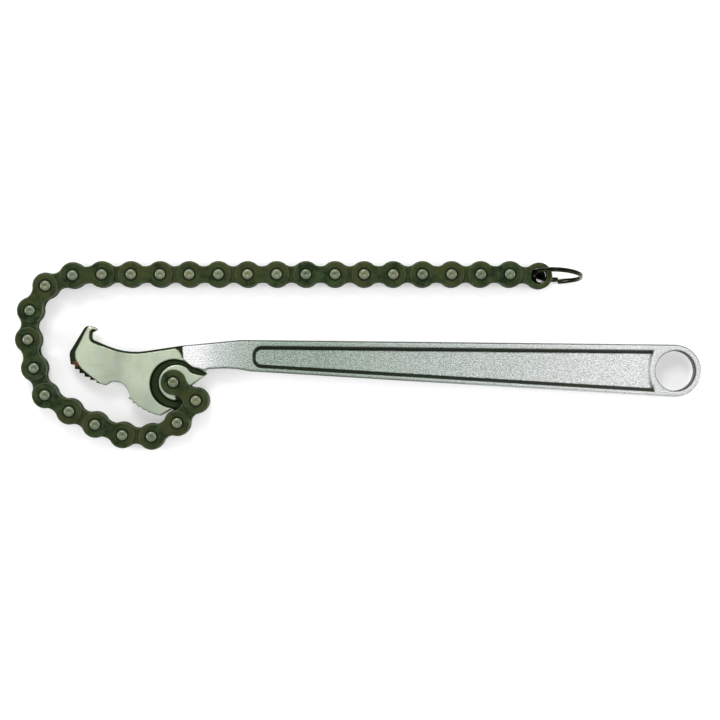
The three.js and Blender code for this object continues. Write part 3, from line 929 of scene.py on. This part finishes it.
class Nodes:
    """A small helper that wires a material's nodes."""

    def __init__(self, name):
        self.material = bpy.data.materials.new(name)
        self.material.use_nodes = True
        self.tree = self.material.node_tree
        self.shader = self.tree.nodes["Principled BSDF"]

    def new(self, kind, **values):
        node = self.tree.nodes.new(kind)
        for key, value in values.items():
            if key in node.inputs:
                node.inputs[key].default_value = value
            else:
                setattr(node, key, value)
        return node

    def link(self, source, target):
        self.tree.links.new(source, target)

    def attribute(self, name):
        return self.new("ShaderNodeAttribute", attribute_name=name).outputs["Fac"]

    def coordinates(self, scale):
        place = self.new("ShaderNodeTexCoord")
        mapping = self.new("ShaderNodeMapping")
        mapping.inputs["Scale"].default_value = scale
        self.link(place.outputs["Object"], mapping.inputs["Vector"])
        return mapping.outputs["Vector"]

    def noise(self, scale, detail, stretch=(1, 1, 1)):
        node = self.new("ShaderNodeTexNoise", Scale=scale, Detail=detail, Roughness=0.6)
        self.link(self.coordinates(stretch), node.inputs["Vector"])
        return node.outputs["Fac"]

    def ramp(self, source, stops):
        """Two colours at (position, colour) stops, with a blend between them."""
        node = self.new("ShaderNodeValToRGB")
        elements = node.color_ramp.elements
        for element, (position, colour) in zip(elements, stops):
            element.position = position
            element.color = (*colour, 1)
        self.link(source, node.inputs["Fac"])
        return node.outputs["Color"]

    def grey(self, source, low, high, start=0.3, end=0.7):
        return self.ramp(source, [(start, (low,) * 3), (end, (high,) * 3)])

    def mix(self, share, first, second):
        node = self.new("ShaderNodeMix", data_type="RGBA")
        self.set(node.inputs["Factor"], share)
        self.set(node.inputs["A"], first)
        self.set(node.inputs["B"], second)
        return node.outputs["Result"]

    def mix_value(self, share, first, second):
        node = self.new("ShaderNodeMix", data_type="FLOAT")
        self.set(node.inputs["Factor"], share)
        self.set(node.inputs["A"], first)
        self.set(node.inputs["B"], second)
        return node.outputs["Result"]

    def set(self, socket, value):
        if isinstance(value, bpy.types.NodeSocket):
            self.link(value, socket)
        elif isinstance(value, tuple):
            socket.default_value = (*value, 1)
        else:
            socket.default_value = value

    def bump(self, height, distance):
        node = self.new("ShaderNodeBump", Distance=distance, Strength=1.0)
        self.link(height, node.inputs["Height"])
        return node.outputs["Normal"]


def forging_material():
    """Plated, pebbled handle with painted sheen; ground, finely brushed head; dark where neither tool
    reached, and dark where shade is painted.
    """
    nodes = Nodes("forged_steel")
    names = ("dark", "ground", "bright", "rusty")
    dark, ground, bright, rusty = [nodes.attribute(name) for name in names]
    pebbles = nodes.noise(1500, 2.0)
    cloud = nodes.noise(60, 3.0)
    streaks = nodes.noise(1.0, 5.0, stretch=(60, 2600, 400))
    bands = nodes.noise(1.0, 2.0, stretch=(150, 45, 50))
    spots = nodes.noise(140, 3.0)
    # The plating's colour without and with painted sheen; the bright share paints the sheen in.
    plain_plating = nodes.ramp(pebbles, [(0.38, (0.14, 0.19, 0.155)), (0.60, (0.345, 0.40, 0.35))])
    painted_sheen_plating = nodes.ramp(pebbles, [(0.38, (0.50, 0.50, 0.515)), (0.60, (0.88, 0.875, 0.89))])
    plated = nodes.mix(bright, plain_plating, painted_sheen_plating)
    # On the head the bright share is 0 at the darker heel and 1 away from it.
    fine = nodes.ramp(streaks, [(0.35, (0.37, 0.42, 0.30)), (0.65, (0.43, 0.485, 0.365))])
    broad = nodes.ramp(bands, [(0.38, (0.33, 0.385, 0.33)), (0.62, (0.47, 0.51, 0.365))])
    local = nodes.ramp(spots, [(0.38, (0.36, 0.41, 0.29)), (0.62, (0.43, 0.485, 0.40))])
    mottled = nodes.mix(0.4, nodes.mix(0.55, fine, broad), local)
    brushed = nodes.mix(bright, nodes.mix(0.4, mottled, (0.22, 0.26, 0.22)), mottled)
    bare = nodes.mix(ground, plated, brushed)
    # The dark colour serves both forge scale and the painted shade of the dark share.
    scale = nodes.ramp(cloud, [(0.3, (0.008, 0.016, 0.003)), (0.7, (0.018, 0.030, 0.008))])
    colour = nodes.mix(dark, bare, scale)
    stain = nodes.new("ShaderNodeMath", operation="MULTIPLY")
    nodes.link(rusty, stain.inputs[0])
    nodes.link(nodes.grey(pebbles, 0.6, 1.0), stain.inputs[1])
    stain_share = stain.outputs["Value"]
    colour = nodes.mix(stain_share, colour, (0.156, 0.045, 0.017))
    nodes.link(colour, nodes.shader.inputs["Base Color"])
    plated_roughness = nodes.grey(pebbles, 0.28, 0.42)
    brushed_roughness = nodes.grey(streaks, 0.26, 0.38)
    metal_roughness = nodes.mix_value(ground, plated_roughness, brushed_roughness)
    metallic = nodes.mix_value(dark, 1.0, 0.85)
    roughness = nodes.mix_value(dark, metal_roughness, 0.5)
    nodes.link(nodes.mix_value(stain_share, roughness, 0.8), nodes.shader.inputs["Roughness"])
    nodes.link(nodes.mix_value(stain_share, metallic, 0.2), nodes.shader.inputs["Metallic"])
    height = nodes.mix_value(ground, pebbles, nodes.mix_value(0.8, streaks, 0.5))
    nodes.link(nodes.bump(height, 0.00025), nodes.shader.inputs["Normal"])
    return nodes.material


def pin_shade_share(nodes):
    """Painted shade round a plate's two pins: strongest right at each pin head, fading outwards."""
    along, across = nodes.attribute("along"), nodes.attribute("across")
    shares = []
    for place in (0, PITCH):
        offset = nodes.new("ShaderNodeMath", operation="SUBTRACT")
        nodes.link(along, offset.inputs[0])
        offset.inputs[1].default_value = place
        spot = nodes.new("ShaderNodeCombineXYZ")
        nodes.link(offset.outputs["Value"], spot.inputs["X"])
        nodes.link(across, spot.inputs["Y"])
        length = nodes.new("ShaderNodeVectorMath", operation="LENGTH")
        nodes.link(spot.outputs["Vector"], length.inputs[0])
        shares.append(length.outputs["Value"])
    nearest = nodes.new("ShaderNodeMath", operation="MINIMUM")
    nodes.link(shares[0], nearest.inputs[0])
    nodes.link(shares[1], nearest.inputs[1])
    fade = nodes.new("ShaderNodeMapRange", interpolation_type="SMOOTHSTEP")
    nodes.link(nearest.outputs["Value"], fade.inputs["Value"])
    fade.inputs["From Min"].default_value = PIN_HEAD_RADIUS + 0.15
    fade.inputs["From Max"].default_value = PIN_HEAD_RADIUS + 1.5
    fade.inputs["To Min"].default_value = 1.0
    fade.inputs["To Max"].default_value = 0.0
    return fade.outputs["Result"]


def steel_material(name, dark_colour, light_colour, worn_glint_colour, roughness, shaded_round_pins=False):
    """Blackened steel, blotched, brighter on its worn edges, which also carry a painted glint; the
    plates get painted shade round their pins.
    """
    nodes = Nodes(name)
    blotches = nodes.noise(260, 5.0)
    patches = nodes.noise(75, 3.0)
    fine = nodes.noise(1800, 3.0)
    base = nodes.ramp(blotches, [(0.36, dark_colour), (0.62, light_colour)])
    brown = tuple(share * tint for share, tint in zip(light_colour, (1.3, 0.95, 0.75)))
    base = nodes.mix(nodes.grey(patches, 0.0, 0.7, 0.42, 0.62), base, brown)
    # Painted shade round the pins, darkest at each pin head.
    if shaded_round_pins:
        pin_shade_colour = tuple(0.45 * share for share in dark_colour)
        base = nodes.mix(pin_shade_share(nodes), base, pin_shade_colour)
    # Lighter on the edges: real wear, and a painted glint along the rims.
    colour = nodes.mix(nodes.mix_value(nodes.attribute("wear_and_glint"), 0.0, 0.6), base, worn_glint_colour)
    nodes.link(colour, nodes.shader.inputs["Base Color"])
    finish = nodes.grey(blotches, roughness - 0.08, roughness + 0.1)
    nodes.link(finish, nodes.shader.inputs["Roughness"])
    nodes.shader.inputs["Metallic"].default_value = 0.9
    nodes.link(nodes.bump(fine, 0.00005), nodes.shader.inputs["Normal"])
    return nodes.material


def make_materials():
    return {
        "forging": forging_material(),
        "plate": steel_material(
            "plate_steel", (0.007, 0.014, 0.004), (0.031, 0.051, 0.020), (0.11, 0.135, 0.08), 0.40,
            shaded_round_pins=True,
        ),
        "pin": steel_material(
            "pin_steel", (0.058, 0.085, 0.047), (0.125, 0.16, 0.10), (0.26, 0.30, 0.22), 0.34,
        ),
        "roller": steel_material(
            "roller_steel", (0.03, 0.04, 0.02), (0.06, 0.07, 0.04), (0.15, 0.17, 0.12), 0.35,
        ),
        "ring": steel_material(
            "ring_steel", (0.008, 0.016, 0.007), (0.020, 0.032, 0.016), (0.2, 0.22, 0.18), 0.17,
        ),
    }


# ------------------------------------------------------------------ stage


def make_camera():
    x, y = ANCHOR.x + VIEW_CENTRE[0] * MM, ANCHOR.y + VIEW_CENTRE[1] * MM
    data = bpy.data.cameras.new("camera")
    data.angle = 2 * math.atan(VIEW_WIDTH / 2 / (CAMERA_HEIGHT - PIN_HALF_LENGTH))
    data.clip_end = 20
    camera = bpy.data.objects.new("camera", data)
    camera.location = (x, y, ANCHOR.z + CAMERA_HEIGHT * MM)
    bpy.context.scene.collection.objects.link(camera)
    bpy.context.scene.camera = camera


def area_light(name, place, size, power):
    """A disc light that faces the middle of the floor."""
    data = bpy.data.lights.new(name, "AREA")
    data.shape = "DISK"
    data.size = size
    data.energy = power
    lamp = bpy.data.objects.new(name, data)
    lamp.location = place
    lamp.rotation_euler = (-lamp.location).to_track_quat("-Z", "Y").to_euler()
    bpy.context.scene.collection.objects.link(lamp)


def make_stage():
    nodes = Nodes("pale_floor")
    grain = nodes.noise(40, 2.0)
    nodes.link(nodes.grey(grain, 0.93, 0.95), nodes.shader.inputs["Base Color"])
    nodes.shader.inputs["Roughness"].default_value = 0.9
    nodes.shader.inputs["Specular IOR Level"].default_value = 0.1
    nodes.shader.inputs["Emission Color"].default_value = (1, 1, 1, 1)
    nodes.shader.inputs["Emission Strength"].default_value = FLOOR_EMISSION
    half = FLOOR_HALF_SIDE
    corners = [(-half, -half, 0), (half, -half, 0), (half, half, 0), (-half, half, 0)]
    floor = make_piece("floor", corners, [(0, 1, 2, 3)], [nodes.material])
    for light in LIGHTS:
        area_light(*light)
    world = bpy.data.worlds.new("studio")
    bpy.context.scene.world = world
    world.use_nodes = True
    world.node_tree.nodes["Background"].inputs["Color"].default_value = (1, 1, 1, 1)
    world.node_tree.nodes["Background"].inputs["Strength"].default_value = WORLD_STRENGTH
    bpy.context.scene.view_settings.view_transform = "Standard"


make_camera()
make_stage()
materials = make_materials()
build_forging(materials["forging"])
for link_index, link_body in enumerate(LINK_BODIES):
    build_link(link_index, link_body, materials)
build_ring(materials["ring"], materials["plate"])
